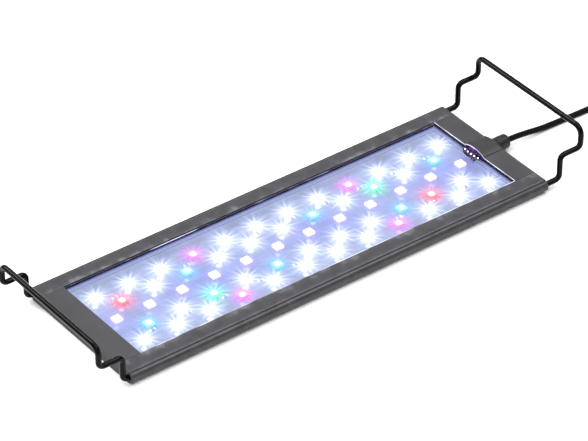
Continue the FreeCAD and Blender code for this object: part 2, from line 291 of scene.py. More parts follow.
# polished acrylic sheet: light passes straight through the thin sheet, and each face mirrors
# 0.04 + 0.96 f^5, where f is how grazing the view is; faint wipe marks dull the mirror
def clearAcrylic():
    material, tree, shader = newMaterial("clearAcrylic", {"Roughness": 0.0})
    place = addNode(tree, "ShaderNodeTexCoord").outputs["Object"]
    wipes = addNode(tree, "ShaderNodeTexNoise", {"Scale": 1 / (30 * mm), "Detail": 3}, {"Vector": place})
    dull = addNode(tree, "ShaderNodeMapRange", {"To Min": 0.0, "To Max": 0.05}, {"Value": wipes.outputs["Fac"]})
    clear = addNode(tree, "ShaderNodeBsdfTransparent", {"Color": colour("#f7f9ff")})
    mirror = addNode(tree, "ShaderNodeBsdfGlossy", None, {"Roughness": dull.outputs["Result"]})
    grazing = addNode(tree, "ShaderNodeLayerWeight", {"Blend": 0.5})
    fifth = addNode(tree, "ShaderNodeMath", {"operation": "POWER", 1: 5.0}, {0: grazing.outputs["Facing"]})
    share = addNode(tree, "ShaderNodeMath", {"operation": "MULTIPLY_ADD", 1: 0.96, 2: 0.04},
                    {0: fifth.outputs["Value"]})
    mix = addNode(tree, "ShaderNodeMixShader", None, {0: share.outputs["Value"], 1: clear.outputs["BSDF"],
                                                      2: mirror.outputs["BSDF"]})
    tree.links.new(mix.outputs["Shader"], tree.nodes["Material Output"].inputs["Surface"])
    tree.nodes.remove(shader)
    return material


# bright plated metal with fine handling marks
def platedMetal(name, code, roughness):
    material, tree, shader = newMaterial(name, {"Metallic": 1.0, "Roughness": roughness})
    place = addNode(tree, "ShaderNodeTexCoord").outputs["Object"]
    marks = addNode(tree, "ShaderNodeTexNoise", {"Scale": 1 / (0.5 * mm), "Detail": 3}, {"Vector": place})
    tint = addNode(tree, "ShaderNodeValToRGB", {"stops": [(0.2, colour(code)), (0.9, colour("#e8e6e0"))]},
                   {"Fac": marks.outputs["Fac"]})
    tree.links.new(tint.outputs["Color"], shader.inputs["Base Color"])
    return material


# painted glints: an emissive finish for thin beads and seals along the window, standing in for their bright edge
# highlights; bright and dim stretches follow each other
def paintedGlintFinish(name, code, stretch, low, high, start=0.38):
    material, tree, shader = newMaterial(name, {"Roughness": 0.15, "IOR": 1.45, "Base Color": colour("#3c4060"),
                                         "Emission Color": colour(code)})
    place = addNode(tree, "ShaderNodeTexCoord").outputs["Object"]
    stretches = addNode(tree, "ShaderNodeTexNoise", {"Scale": 1 / (stretch * mm), "Detail": 1}, {"Vector": place})
    strength = addNode(tree, "ShaderNodeMapRange", {"From Min": start, "From Max": 0.62, "To Min": low,
                       "To Max": high}, {"Value": stretches.outputs["Fac"]})
    tree.links.new(strength.outputs["Result"], shader.inputs["Emission Strength"])
    return material


railFinish = anodisedAluminium()
capFinish = moulded("mouldedCap", "#353537", "#434346", 0.5)
wireFinish = glossBlackWire()
cableFinish = moulded("pvcCable", "#060607", "#0c0c0e", 0.5, 0.6, shine=0.08)
humpFinish = moulded("mouldedHump", "#262628", "#343437", 0.4, 0.5, shine=0.3)
reliefFinish = moulded("mouldedRubber", "#19191b", "#252527", 0.42, 0.5, shine=0.25)
blackFinish = moulded("blackAbs", "#141415", "#1d1d1f", 0.4)
padFinish = moulded("siliconePad", "#6d7276", "#7a7f84", 0.8, 0.8)
redFinish = moulded("redInsulation", "#8c1414", "#a01a1a", 0.4)
coverFinish = clearAcrylic()
screwFinish = platedMetal("zincSteel", "#9a9a9c", 0.3)
nickelFinish = platedMetal("nickelPlate", "#b5b1a8", 0.18)
print("materials ready")


view = {"azimuth": -37.2, "elevation": 36.3, "distance": 2.003, "lens": 222.3,
        "target": (0.0041, 0.0052, 0.0114)}


def makeCamera():
    azimuth, elevation = math.radians(view["azimuth"]), math.radians(view["elevation"])
    back = Vector((math.sin(azimuth) * math.cos(elevation), -math.cos(azimuth) * math.cos(elevation),
                   math.sin(elevation)))
    data = bpy.data.cameras.new("camera")
    data.lens = view["lens"]
    data.sensor_width = 36
    data.clip_start, data.clip_end = 0.05, 50
    camera = addObject("camera", data)
    camera.location = Vector(view["target"]) + back * view["distance"]
    camera.rotation_euler = (math.pi / 2 - elevation, 0, azimuth)
    bpy.context.scene.camera = camera


light = {"sky": 0.34, "top": 22, "far": 3, "near": 1.5, "bar": 14, "rail": 7}


def softBox(name, place, target, size, power):
    data = bpy.data.lights.new(name, "AREA")
    data.shape = "RECTANGLE"
    data.size, data.size_y = size
    data.energy = power
    box = addObject(name, data)
    box.location = place
    box.rotation_euler = (Vector(target) - Vector(place)).to_track_quat("-Z", "Y").to_euler()


def makeStudio():
    scene = bpy.context.scene
    scene.view_settings.view_transform = "Standard"
    world = bpy.data.worlds.new("studio")
    world.use_nodes = True
    world.node_tree.nodes["Background"].inputs["Color"].default_value = (1, 1, 1, 1)
    world.node_tree.nodes["Background"].inputs["Strength"].default_value = light["sky"]
    scene.world = world
    softBox("topSoftBox", (0, 0, 1.2), (0, 0, 0), (1.8, 1.8), light["top"])
    softBox("farSoftBox", (0.7, 1.3, 0.9), (0, 0, 0), (1.6, 0.6), light["far"])
    softBox("nearSoftBox", (-1.0, -0.9, 0.7), (0, 0, 0), (0.8, 0.6), light["near"])
    softBox("barBox", (-0.5, 1.0, 1.1), (0, 0, 0), (0.3, 0.9), light["bar"])
    softBox("railBox", (0.78, -0.48, 1.3), (0, 0, 0), (1.2, 0.2), light["rail"])
    half = 4.0
    mesh = bpy.data.meshes.new("floor")
    mesh.from_pydata([(-half, -half, 0), (half, -half, 0), (half, half, 0), (-half, half, 0)], [], [(0, 1, 2, 3)])
    mesh.materials.append(newMaterial("paleFloor", {"Base Color": colour("#fafafa"), "Roughness": 0.9})[0])
    floor = addObject("floor", mesh)


makeCamera()
makeStudio()
print("camera and studio ready")


housing = {"halfLength": 143.0, "height": 8.0, "halfWindowLength": 128.75, "halfWindowWidth": 36.25,
        "rodY": 45.2, "rodZ": 4.1, "bead": 3.4, "shoulder": 1.1, "flange": 1.2}
relief = {"radius": 4.5, "tip": 4.3, "mouth": 1.0, "height": 5.4, "outside": 9.5, "inside": 7.0, "cable": 1.75,
          "grip": 6.0, "waist": {"depth": 0.22, "place": 2.2, "width": 0.9}}
mouthX = housing["halfLength"] + relief["outside"]

cable = {
    "diameter": 3.5,
    "route": [(-6.0, 0.0, 5.4), (4.5, 0.0, 5.4), (15.5, 0.2, 4.1), (27.0, 0.5, 2.1), (39.5, 0.4, 1.75),
              (52.5, -0.3, 1.75), (66.5, -0.5, 1.75), (79.5, 0.0, 1.75)],
    "tail": [(109.5, -34.5, 12.2), (109.8, -44.0, 10.2), (109.7, -53.0, 6.2), (109.5, -61.0, 4.6)],
    "coilPlace": (89.5, -23.5), "columns": [23.5, 20.0, 16.5], "layers": 4, "turns": 11, "pointsInTurn": 16,
    "stepOver": 0.2,
}


# the coil winds clockwise from the top of its outer column: column and layer step over in the last fifth of a turn
def coilPoints():
    order = []
    for layer in range(cable["layers"]):
        columns = cable["columns"] if layer % 2 == 0 else cable["columns"][::-1]
        order += [(radius, cable["diameter"] * (layer + 0.5)) for radius in columns]
    order = np.array(order[:cable["turns"] + 1])
    count = cable["pointsInTurn"]
    turn = np.arange(cable["turns"] * count + count // 4) / count
    whole = np.minimum(turn.astype(int), cable["turns"])
    part = np.clip((turn - whole - 1) / cable["stepOver"] + 1, 0, 1)
    step = part * part * (3 - 2 * part)
    following = np.minimum(whole + 1, len(order) - 1)
    place = order[whole] * (1 - step)[:, None] + order[following] * step[:, None]
    angle = math.pi / 2 - 2 * math.pi * turn
    x = cable["coilPlace"][0] + place[:, 0] * np.cos(angle)
    y = cable["coilPlace"][1] + place[:, 0] * np.sin(angle)
    return np.stack([x, y, place[:, 1]], axis=-1)


def makeCable():
    points = np.concatenate([np.array(cable["route"]), coilPoints(), np.array(cable["tail"])])
    points[:, 0] += mouthX
    points *= mm
    data = bpy.data.curves.new("powerCable", "CURVE")
    data.dimensions = "3D"
    line = data.splines.new("NURBS")
    line.points.add(len(points) - 1)
    line.points.foreach_set("co", np.column_stack([points, np.ones(len(points))]).ravel())
    line.order_u = 3
    line.use_endpoint_u = True
    line.resolution_u = 4
    data.bevel_depth = cable["diameter"] / 2 * mm
    data.bevel_resolution = 4
    data.use_fill_caps = True
    data.materials.append(cableFinish)
    piece = addObject("powerCable", data)
    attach(piece, "housing")
    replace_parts(piece, "cable_lead", "cable_coil", "cable_tail")
    return piece, points


powerCable, cablePoints = makeCable()
cableLength = float(np.linalg.norm(np.diff(cablePoints, axis=0), axis=1).sum())
print("cable ready, polygon length", round(cableLength, 3))


rail = {"bore": 2.4, "slotTop": 6.65, "slotBottom": 5.35, "slotDepth": 1.25, "backTuck": 2.0, "back": 0.8,
        "topRound": 2.2, "edgeRound": 0.25, "crease": 0.45, "stations": 9}


# the outline goes round the slab, the rounded shoulder, the crease and the bead: straight runs and arcs in (y, z)
def railOutline():
    inner, top = housing["halfWindowWidth"], housing["height"]
    outer = housing["rodY"] + housing["shoulder"]
    centre = (housing["rodY"], housing["rodZ"])
    lift = math.degrees(math.acos(housing["shoulder"] / housing["bead"]))
    gap = math.degrees(rail["crease"] / housing["bead"])
    creaseZ = housing["rodZ"] + housing["bead"] * math.sin(math.radians(lift))
    return np.concatenate([
        [(inner + rail["backTuck"], 0), (inner + rail["backTuck"], rail["back"]), (inner, rail["back"]),
         (inner, rail["slotBottom"]), (inner + rail["slotDepth"], rail["slotBottom"]),
         (inner + rail["slotDepth"], rail["slotTop"]), (inner, rail["slotTop"])],
        arc((inner + rail["edgeRound"], top - rail["edgeRound"]), rail["edgeRound"], 180, 90, 5),
        arc((outer - rail["topRound"], top - rail["topRound"]), rail["topRound"], 90, 12, 9),
        arc((outer, creaseZ), rail["crease"], 160, 300, 7),
        arc(centre, housing["bead"], lift - gap, -90, 26),
    ])


# the bore is the same number of points on a circle, each in the direction of its outline point
def makeRail(name, side):
    outline = railOutline()
    away = outline - (housing["rodY"], housing["rodZ"])
    angle = np.arctan2(away[:, 1], away[:, 0])
    bore = np.stack([housing["rodY"] + rail["bore"] * np.cos(angle), housing["rodZ"] + rail["bore"] * np.sin(angle)],
                    axis=-1)
    end = housing["halfLength"] - housing["flange"]
    x = np.linspace(-end, end, rail["stations"])
    section = np.concatenate([outline, bore])
    points = np.empty((len(x), len(section), 3))
    points[:, :, 0] = x[:, None]
    points[:, :, 1] = section[None, :, 0] * side
    points[:, :, 2] = section[None, :, 1]
    count = len(outline)
    ring = np.arange(count)
    nextRing = (ring + 1) % count
    faces = []
    for start in (0, count):
        rows = np.arange(len(x) - 1)[:, None] * len(section) + start
        faces.append(np.stack([rows + ring, rows + ring + len(section), rows + nextRing + len(section),
                               rows + nextRing], axis=-1).reshape(-1, 4))
    for row in (0, (len(x) - 1) * len(section)):
        faces.append(np.stack([ring, nextRing, nextRing + count, ring + count], axis=-1) + row)
    return placePiece(name, points * mm, np.concatenate(faces).tolist(), railFinish, sharp=40)


for name, side in (("farRail", 1), ("nearRail", -1)):
    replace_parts(makeRail(name, side), "far_rail" if side > 0 else "near_rail")
print("rails ready")


hump = {"width": 17.0, "rise": 2.2, "power": 2.1, "flank": 0.75, "endRound": 1.2, "endLeft": 0.35, "steps": 18,
        "endSteps": 8, "across": 61}


# the arch's rise over the cap at a place across it: rise * (1 - |y / half width| ^ power) ^ flank
def archRise(y):
    across = np.abs(np.clip(y / (hump["width"] / 2), -1, 1))
    return hump["rise"] * (1 - across ** hump["power"]) ** hump["flank"]


# the hump: z = height + rise(y) * e(x), where e is 1 until the outer end and then left + (1 - left) sqrt(1 - s^2)
def makeGlandCover():
    start, end = housing["halfWindowLength"], housing["halfLength"]
    straight = end - hump["endRound"]
    x = np.concatenate([np.linspace(start, straight, hump["steps"]),
                        straight + hump["endRound"] * np.sin(np.linspace(0.15, math.pi / 2, hump["endSteps"]))])
    s = np.clip((x - straight) / hump["endRound"], 0, 1)
    ease = hump["endLeft"] + (1 - hump["endLeft"]) * np.sqrt(1 - s ** 2)
    y = np.linspace(-1, 1, hump["across"]) * hump["width"] / 2
    top = np.empty((len(x), len(y), 3))
    top[:, :, 0] = x[:, None]
    top[:, :, 1] = y[None]
    top[:, :, 2] = housing["height"] + 0.01 + ease[:, None] * archRise(y)[None]
    bottom = top.copy()
    bottom[:, :, 2] = housing["height"] - 0.02
    points, faces = closedSheets(top, bottom)
    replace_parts(placePiece("glandCover", points * mm, faces, humpFinish, sharp=50), "gland_cover")


# the strain relief is a turned profile: collar, a slow taper less a shallow waist, depth e^(-((s - place) / width)^2),
# then the rounded mouth and the cable's bore
def makeStrainRelief():
    out, tip, mouth, waist = relief["outside"], relief["tip"], relief["mouth"], relief["waist"]
    s = np.linspace(0, out - mouth, 14)
    outside = relief["radius"] + (tip - relief["radius"]) * s / out
    outside -= waist["depth"] * np.exp(-((s - waist["place"]) / waist["width"]) ** 2)
    profile = [(-relief["inside"], 0), (-relief["inside"], relief["radius"])] + list(zip(s, outside))
    a = np.radians(np.linspace(10, 90, 8))
    profile += [(out - mouth + mouth * math.sin(v), tip - mouth + mouth * math.cos(v)) for v in a]
    profile += [(out, relief["cable"]), (out - relief["grip"], relief["cable"]), (out - relief["grip"], 0)]
    place = (housing["halfLength"], 0, relief["height"])
    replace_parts(turned("strainRelief", profile, place, (1, 0, 0), reliefFinish), "strain_relief")


for name, node in (("leftEndCap", "left_end_cap"), ("rightEndCap", "right_end_cap")):
    smoothCopy(name, node, capFinish)
makeGlandCover()
makeStrainRelief()
print("caps and gland ready")


leg = {"radius": 1.7, "bend": 3.2, "barBend": 5.0, "riser": 146.6, "out": 14.8, "seat": 15.4, "bar": 12.9,
       "innerEnd": 44.4, "pull": {"left": 0.0, "right": 7.0}}


# a U of bent wire: rod, riser, level seat, riser and crossbar, then the same back on the other side
def makeLeg(name, sign):
    pull = leg["pull"][name]
    riser, inner = leg["riser"] + pull, leg["innerEnd"] + pull
    y, z = housing["rodY"], housing["rodZ"]
    seat = z + leg["seat"]
    bar = seat + leg["bar"]
    arm = [(inner, y, z), (riser, y, z), (riser, y, seat), (riser + leg["out"], y, seat),
           (riser + leg["out"], y, bar)]
    points = np.array(arm + [(px, -py, pz) for px, py, pz in reversed(arm)]) * (sign, 1, 1)
    bends = [leg["bend"]] * 3 + [leg["barBend"]] * 2 + [leg["bend"]] * 3
    grid, faces = closedTube(bentPath(points, bends), leg["radius"])
    piece = placePiece(name + "LegWire", grid * mm, faces, wireFinish, name + "_leg", 50)
    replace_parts(piece, name + "_leg_wire")


makeLeg("left", -1)
makeLeg("right", 1)
print("legs ready")


# wash, edge and spillReach set the painted light that the board's glow attribute carries
board = {"halfX": 128.35, "halfY": 35.85, "bottom": 1.0, "top": 2.0, "cell": 0.5, "glare": 3.72,
         "wash": ("#97a2b6", "#8088cc"), "washStrength": 0.9, "washWidth": 22, "edge": "#dbe0ff",
         "edgeStrength": 0.12, "edgeWidth": 0.7, "spillReach": 14}
leds = {
    "pitch": 21.6, "cup": 1.9, "cupFloor": 3.2, "rise": 0.42, "rings": 6, "sides": 16,
    "rows": [(22.8, 1.8, "wwwmwwwwmwww"), (12.4, 1.1, "rwcwwwcwgwc"), (0.9, 0.5, "bbbbbbbbbbbb"),
             (-12.4, 1.1, "cwgwcwwwcrw"), (-22.8, 1.8, "wwwmwwwwmwww")],
}
# for each letter: the node, the glow of its plastic and of its gel, and the glare round it: its colour, the core's
# and the halo's radius in mm, how strong the core, the halo and the rays are, how far the rays reach, how strong
# the second image is, and how much of the board's wash the tint takes away
lit = {
    "w": {"node": "white_leds", "plastic": ("#ffffff", 1.6), "gel": ("#f4f8ff", 14), "paintedSpill": "#e8f2ff",
          "core": 2.6, "coreStrength": 1.2, "halo": 4.2, "haloStrength": 0.7, "rays": 0.85, "length": 3.6,
          "ghost": 0.95, "mask": 0.0},
    "m": {"node": "magenta_leds", "plastic": ("#ff94e2", 0.35), "gel": ("#ffd0f4", 5), "paintedSpill": "#f03ad8",
          "core": 1.3, "coreStrength": 0.5, "halo": 5.2, "haloStrength": 0.75, "rays": 0.5, "length": 3.0,
          "ghost": 0.4, "mask": 0.85},
    "r": {"node": "red_leds", "plastic": ("#ff8078", 0.35), "gel": ("#ffc8b8", 5), "paintedSpill": "#ff2430",
          "core": 1.3, "coreStrength": 0.5, "halo": 5.4, "haloStrength": 0.85, "rays": 0.6, "length": 3.6,
          "ghost": 0.4, "mask": 0.95},
    "c": {"node": "cyan_leds", "plastic": ("#88e8ff", 0.4), "gel": ("#d0faff", 5), "paintedSpill": "#10b4ff",
          "core": 1.3, "coreStrength": 0.5, "halo": 4.8, "haloStrength": 0.7, "rays": 0.4, "length": 3.0,
          "ghost": 0.5, "mask": 0.8},
    "g": {"node": "green_leds", "plastic": ("#80f4c0", 0.4), "gel": ("#c8ffe4", 5), "paintedSpill": "#08e088",
          "core": 1.3, "coreStrength": 0.5, "halo": 5.4, "haloStrength": 0.9, "rays": 0.8, "length": 4.2,
          "ghost": 0.5, "mask": 0.95},
    "b": {"node": "moonlight_leds", "plastic": ("#f2d8ff", 0.9), "gel": ("#ffeeff", 3), "paintedSpill": "#b48cff",
          "core": 1.9, "coreStrength": 0.35, "halo": 4.4, "haloStrength": 0.3, "rays": 0.0, "length": 3.0,
          "ghost": 0.35, "mask": 0.3},
}


def ledPlaces(wanted):
    places = []
    for y, shift, letters in leds["rows"]:
        middle = (len(letters) - 1) / 2
        places += [((index - middle) * leds["pitch"] + shift, y) for index, letter in enumerate(letters)
                   if letter == wanted]
    return places


# glossy solder mask: its glow attribute is painted light, an emission that stands in for the light that the LEDs spill
# on it, so its own colour is kept dark, and the copper tracks below it show as faint raised lines
def solderMask():
    material, tree, shader = newMaterial("whiteSolderMask", {"IOR": 1.6, "Roughness": 0.4, "Coat Weight": 1.0,
                                         "Coat IOR": 1.65, "Coat Roughness": 0.04, "Emission Strength": 1.0})
    place = addNode(tree, "ShaderNodeTexCoord").outputs["Object"]
    glow = addNode(tree, "ShaderNodeAttribute", {"attribute_name": "glow"})
    tree.links.new(glow.outputs["Color"], shader.inputs["Emission Color"])
    tracks = addNode(tree, "ShaderNodeTexBrick", {"Scale": 1 / (24 * mm), "Mortar Size": 0.012,
                     "Color1": colour("#4a5068"), "Color2": colour("#525871"), "Mortar": colour("#636a86")},
                     {"Vector": place})
    tree.links.new(tracks.outputs["Color"], shader.inputs["Base Color"])
    bump = addNode(tree, "ShaderNodeBump", {"Strength": 0.2, "Distance": 0.035 * mm},
                   {"Height": tracks.outputs["Fac"]})
    tree.links.new(bump.outputs["Normal"], shader.inputs["Normal"])
    return material


# the board's painted light: glow = a wash that is bluer along the middle + a pale line at the edge; near each LED the
# wash takes on its tint, total * (1 - mask * halo * (1 - tint)), and half of its halo is added
def boardGlow(x, y):
    outer, middle, edge = (np.array(colour(code)[:3]) for code in (*board["wash"], board["edge"]))
    blend = (np.exp(-(y / board["washWidth"]) ** 2) * (0.7 + 0.3 * np.sin(x / 13 + 0.07 * y)))[..., None]
    patches = 1 + 0.18 * np.sin(x / 5.3 + 2 * np.sin(y / 7)) * np.cos(y / 4.1 - x / 17)
    total = (outer * (1 - blend) + middle * blend) * (board["washStrength"] * patches)[..., None]
    inside = np.minimum(board["halfX"] - np.abs(x), board["halfY"] - np.abs(y))
    total += (np.exp(-(inside / board["edgeWidth"]) ** 2) * board["edgeStrength"])[..., None] * edge
    for letter, spot in lit.items():
        for px, py in ledPlaces(letter):
            near = (np.abs(x - px) < board["spillReach"]) & (np.abs(y - py) < board["spillReach"])
            halo = np.exp(-((x[near] - px) ** 2 + (y[near] - py) ** 2) / (1.2 * spot["halo"]) ** 2)[:, None]
            tint = np.array(colour(spot["paintedSpill"])[:3])
            total[near] *= 1 - spot["mask"] * halo * (1 - tint)
            total[near] += 0.5 * spot["haloStrength"] * halo * tint
    return total


# the rays' start and the distances over which the glare ends, in mm, and the second, smaller image of each LED that
# the cover mirrors: it is painted at one fixed distance, so it is right for the main view
glare = {"coreEdge": 0.9, "coreBlur": 1.4, "rayStart": 2.2, "reach": 14, "fade": 6, "ghostX": -5.6, "ghostY": -7.4,
         "ghostRadius": 1.35, "ghostBlur": 0.5}


# the painted glare over the LEDs = for each one, core step + half halo e^(-(r/h)^2) + rays: high powers of cosines of
# the angle that fade as e^(-r/length), with two sets of rays so that their lengths differ
def glareGlow(x, y):
    total = np.zeros(x.shape + (3,))
    for letter, spot in lit.items():
        tint = np.array(colour(spot["paintedSpill"])[:3])
        for px, py in ledPlaces(letter):
            dx, dy = x - px, y - py
            near = (np.abs(dx) < glare["reach"]) & (np.abs(dy) < glare["reach"])
            r, a = np.hypot(dx[near], dy[near]), np.arctan2(dy[near], dx[near])
            core = np.clip((spot["core"] + glare["coreEdge"] - r) / glare["coreBlur"], 0, 1) ** 1.5
            halo = np.exp(-(r / spot["halo"]) ** 2) * 0.5 * spot["haloStrength"]
            spikes = np.abs(np.cos(5.5 * a + px)) ** 5 + 0.8 * np.abs(np.cos(8 * a - py + 1)) ** 4
            rays = spikes * np.exp(-np.maximum(r - glare["rayStart"], 0) / spot["length"]) * spot["rays"]
            fade = np.clip((glare["reach"] - r) / glare["fade"], 0, 1)
            ghost = np.hypot(dx[near] - glare["ghostX"], dy[near] - glare["ghostY"])
            second = np.clip(glare["ghostRadius"] + glare["ghostBlur"] - ghost, 0, 1) * spot["ghost"]
            total[near] += second[:, None] * (0.6 + 0.4 * tint)
            total[near] += core[:, None] * spot["coreStrength"] + (halo * fade)[:, None] * tint
            total[near] += (rays * fade)[:, None] * (0.25 + 0.75 * tint)
    return total


# writes light colours to the first points of a piece; its other points stay black
def setGlow(piece, colours):
    values = np.zeros((len(piece.data.vertices), 4))
    values[:, 3] = 1
    values[:len(colours), :3] = colours
    piece.data.attributes.new("glow", "FLOAT_COLOR", "POINT").data.foreach_set("color", values.ravel())


# a flat plate with a fine grid on top that carries the glow attribute; below it is one plain face
def glowPlate(name, bottom, top, cell, glow, material):
    halfX, halfY = board["halfX"], board["halfY"]
    nx, ny = int(2 * halfX / cell), int(2 * halfY / cell)
    x, y = np.meshgrid(np.linspace(-halfX, halfX, nx), np.linspace(-halfY, halfY, ny), indexing="ij")
    upper = np.stack([x, y, np.full_like(x, top)], axis=-1).reshape(-1, 3)
    rim = np.concatenate([np.arange(0, ny - 1), np.arange(ny - 1, nx * ny - 1, ny),
                          np.arange(nx * ny - 1, (nx - 1) * ny, -1), np.arange((nx - 1) * ny, 0, -ny)])
    lower = upper[rim] * (1, 1, 0) + (0, 0, bottom)
    below = nx * ny + np.arange(len(rim))
    ahead = np.roll(np.arange(len(rim)), -1)
    faces = gridFaces(nx, ny).tolist() + [below.tolist()]
    faces += np.stack([rim, rim[ahead], below[ahead], below], axis=-1)[:, ::-1].tolist()
    piece = placePiece(name, np.concatenate([upper, lower]) * mm, faces, material, weld=False)
    setGlow(piece, glow(x, y).reshape(-1, 3))
    return piece


# a clear sheet that carries the painted glare: its emission adds the painted cores, halos, rays and second images, and
# lets everything below show through
def paintedGlareSheet():
    material, tree, shader = newMaterial("paintedGlareSheetFinish", {"Roughness": 0.1})
    glow = addNode(tree, "ShaderNodeAttribute", {"attribute_name": "glow"})
    clear = addNode(tree, "ShaderNodeBsdfTransparent", {"Color": colour("#ffffff")})
    shine = addNode(tree, "ShaderNodeEmission", {"Strength": 1.0}, {"Color": glow.outputs["Color"]})
    both = addNode(tree, "ShaderNodeAddShader", None, {0: clear.outputs["BSDF"], 1: shine.outputs["Emission"]})
    tree.links.new(both.outputs["Shader"], tree.nodes["Material Output"].inputs["Surface"])
    tree.nodes.remove(shader)
    return material


# the plastic package of a lit LED, tinted by its die and a little brighter in spots where the light leaks through
def litPackage(name, code, strength):
    material, tree, shader = newMaterial(name, {"Roughness": 0.35, "Base Color": colour(code),
                                         "Emission Color": colour(code)})
    place = addNode(tree, "ShaderNodeTexCoord").outputs["Object"]
    leak = addNode(tree, "ShaderNodeTexNoise", {"Scale": 1 / (1.2 * mm), "Detail": 2}, {"Vector": place})
    power = addNode(tree, "ShaderNodeMapRange", {"To Min": strength * 0.8, "To Max": strength * 1.2},
                    {"Value": leak.outputs["Fac"]})
    tree.links.new(power.outputs["Result"], shader.inputs["Emission Strength"])
    return material


# the gel over the lit die: by far the brightest spot, a little uneven with its phosphor
def litGel(name, code, strength):
    material, tree, shader = newMaterial(name, {"Roughness": 0.1, "IOR": 1.41, "Base Color": colour("#f2f4c8"),
                                         "Emission Color": colour(code)})
    place = addNode(tree, "ShaderNodeTexCoord").outputs["Object"]
    phosphor = addNode(tree, "ShaderNodeTexNoise", {"Scale": 1 / (0.6 * mm), "Detail": 1}, {"Vector": place})
    power = addNode(tree, "ShaderNodeMapRange", {"To Min": strength * 0.9, "To Max": strength * 1.1},
                    {"Value": phosphor.outputs["Fac"]})
    tree.links.new(power.outputs["Result"], shader.inputs["Emission Strength"])
    return material


# one shape set down at many places: P = place + shape point, all in arrays
def scattered(name, shape, faces, places, material, body="housing", sharp=35):
    shape, places, faces = np.asarray(shape), np.asarray(places), np.asarray(faces)
    points = (places[:, None] + shape[None]).reshape(-1, 3)
    allFaces = (np.arange(len(places))[:, None, None] * len(shape) + faces[None]).reshape(-1, faces.shape[1])
    return placePiece(name, points * mm, allFaces.tolist(), material, body, sharp)


# a gel dome, height = floor + rise (1 - (r / cup)^2) + 0.02, closed below by a flat cone at the floor
def makeGels():
    r = np.linspace(leds["cup"], 0.02, leds["rings"])
    t = np.linspace(0, 2 * math.pi, leds["sides"], endpoint=False)
    over = leds["cupFloor"] + leds["rise"] * (1 - (r / leds["cup"]) ** 2) + 0.02
    radii = np.concatenate([[0.02], r])
    heights = np.concatenate([[leds["cupFloor"] + 0.01], over])
    shape = np.stack([radii[:, None] * np.cos(t), radii[:, None] * np.sin(t),
                      np.repeat(heights[:, None], len(t), axis=1)], axis=-1)
    faces = gridFaces(len(radii), len(t), wrapColumns=True)
    for letter, spot in lit.items():
        name = spot["node"].split("_")[0]
        places = [(x, y, 0) for x, y in ledPlaces(letter)]
        scattered(name + "Gels", shape.reshape(-1, 3), faces, places, litGel(name + "Gel", *spot["gel"]))
        setNode(spot["node"], litPackage(name + "Package", *spot["plastic"]))


# chip resistors: a pale ceramic body with tinned ends, both with painted glints, an emission that is stronger on the
# ends;
# x repeats every 24 mm, so the distance from the middle of a chip is 12 mm less the ping-pong of x
def chipFinish():
    material, tree, shader = newMaterial("tinnedChipsPaintedGlint", {"Roughness": 0.3, "Emission Color": colour("#d9c8ff")})
    place = addNode(tree, "ShaderNodeTexCoord").outputs["Object"]
    split = addNode(tree, "ShaderNodeSeparateXYZ", None, {"Vector": place})
    wave = addNode(tree, "ShaderNodeMath", {"operation": "PINGPONG", 1: 12 * mm}, {0: split.outputs["X"]})
    end = addNode(tree, "ShaderNodeMath", {"operation": "LESS_THAN", 1: 10.9 * mm}, {0: wave.outputs["Value"]})
    tint = addNode(tree, "ShaderNodeValToRGB", {"stops": [(0.4, colour("#7f83a8")), (0.6, colour("#e6e4f2"))]},
                   {"Fac": end.outputs["Value"]})
    tree.links.new(tint.outputs["Color"], shader.inputs["Base Color"])
    tree.links.new(end.outputs["Value"], shader.inputs["Metallic"])
    paintedChipGlint = addNode(tree, "ShaderNodeMapRange", {"To Min": 0.25, "To Max": 1.2}, {"Value": end.outputs["Value"]})
    tree.links.new(paintedChipGlint.outputs["Result"], shader.inputs["Emission Strength"])
    return material


ledBoard = glowPlate("ledBoard", board["bottom"], board["top"], board["cell"], boardGlow, solderMask())
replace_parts(ledBoard, "led_board")
glowPlate("paintedGlareSheet", board["glare"], board["glare"] + 0.05, board["cell"], glareGlow, paintedGlareSheet())
makeGels()
setNode("chip_resistors", chipFinish())
print("board and LEDs ready")


bead = {"radius": 0.2, "thin": 0.2, "sides": 10, "gap": 0.4}
film = {"thickness": 0.12, "paleTop": 4.1, "fade": 0.8, "levels": (2.03, 3.0, 4.1, 4.9, 5.38),
        "gasket": (6.64, 7.1, 7.8)}
lens = {"reach": 5.2, "foot": 6.63, "plate": 0.45, "inset": 0.3, "dots": 5, "dotGap": 2.8, "dotRadius": 0.4,
        "out": (0, 0, 0.02, 0.06, 0.15, 0.4, 0.7, 0.92, 1, 1), "wall": (1, 0.5, 0.2, 0.06, 0, 0, 0, 0, 0, 0),
        "edge": (1, 1, 1, 1, 1, 1, 1, 0.85, 0.4, 0)}


# thin round beads whose emission paints glints along the window's edges: over the right end's lip it follows z =
# height + rise of the hump's arch
def makeBeads():
    lip = paintedGlintFinish("paintedGlintFinish", "#f4f6ff", 14, 0.2, 1.3)
    dim = paintedGlintFinish("dimPaintedGlintFinish", "#d4d8ff", 22, 0.03, 1.5, 0.52)
    endX, endY = housing["halfWindowLength"], housing["halfWindowWidth"]
    y = np.linspace(-endY + bead["gap"], endY - bead["gap"], 160)
    path = np.stack([np.full_like(y, endX - 0.1), y, housing["height"] - 0.1 + archRise(y)], axis=-1)
    grid, faces = closedTube(path, bead["radius"], bead["sides"])
    placePiece("rightLipBead", grid * mm, faces, lip, sharp=60)
    x = np.linspace(-endX + bead["gap"], endX - bead["gap"], 60)
    for name, side, height, material in (("farCoverBead", 1, rail["slotTop"] + bead["thin"], dim),
                                         ("nearLipBead", -1, housing["height"] - 0.2, lip)):
        path = np.stack([x, np.full_like(x, side * (endY - bead["thin"])), np.full_like(x, height)], axis=-1)
        grid, faces = closedTube(path, bead["thin"], bead["sides"])
        placePiece(name, grid * mm, faces, material, sharp=60)


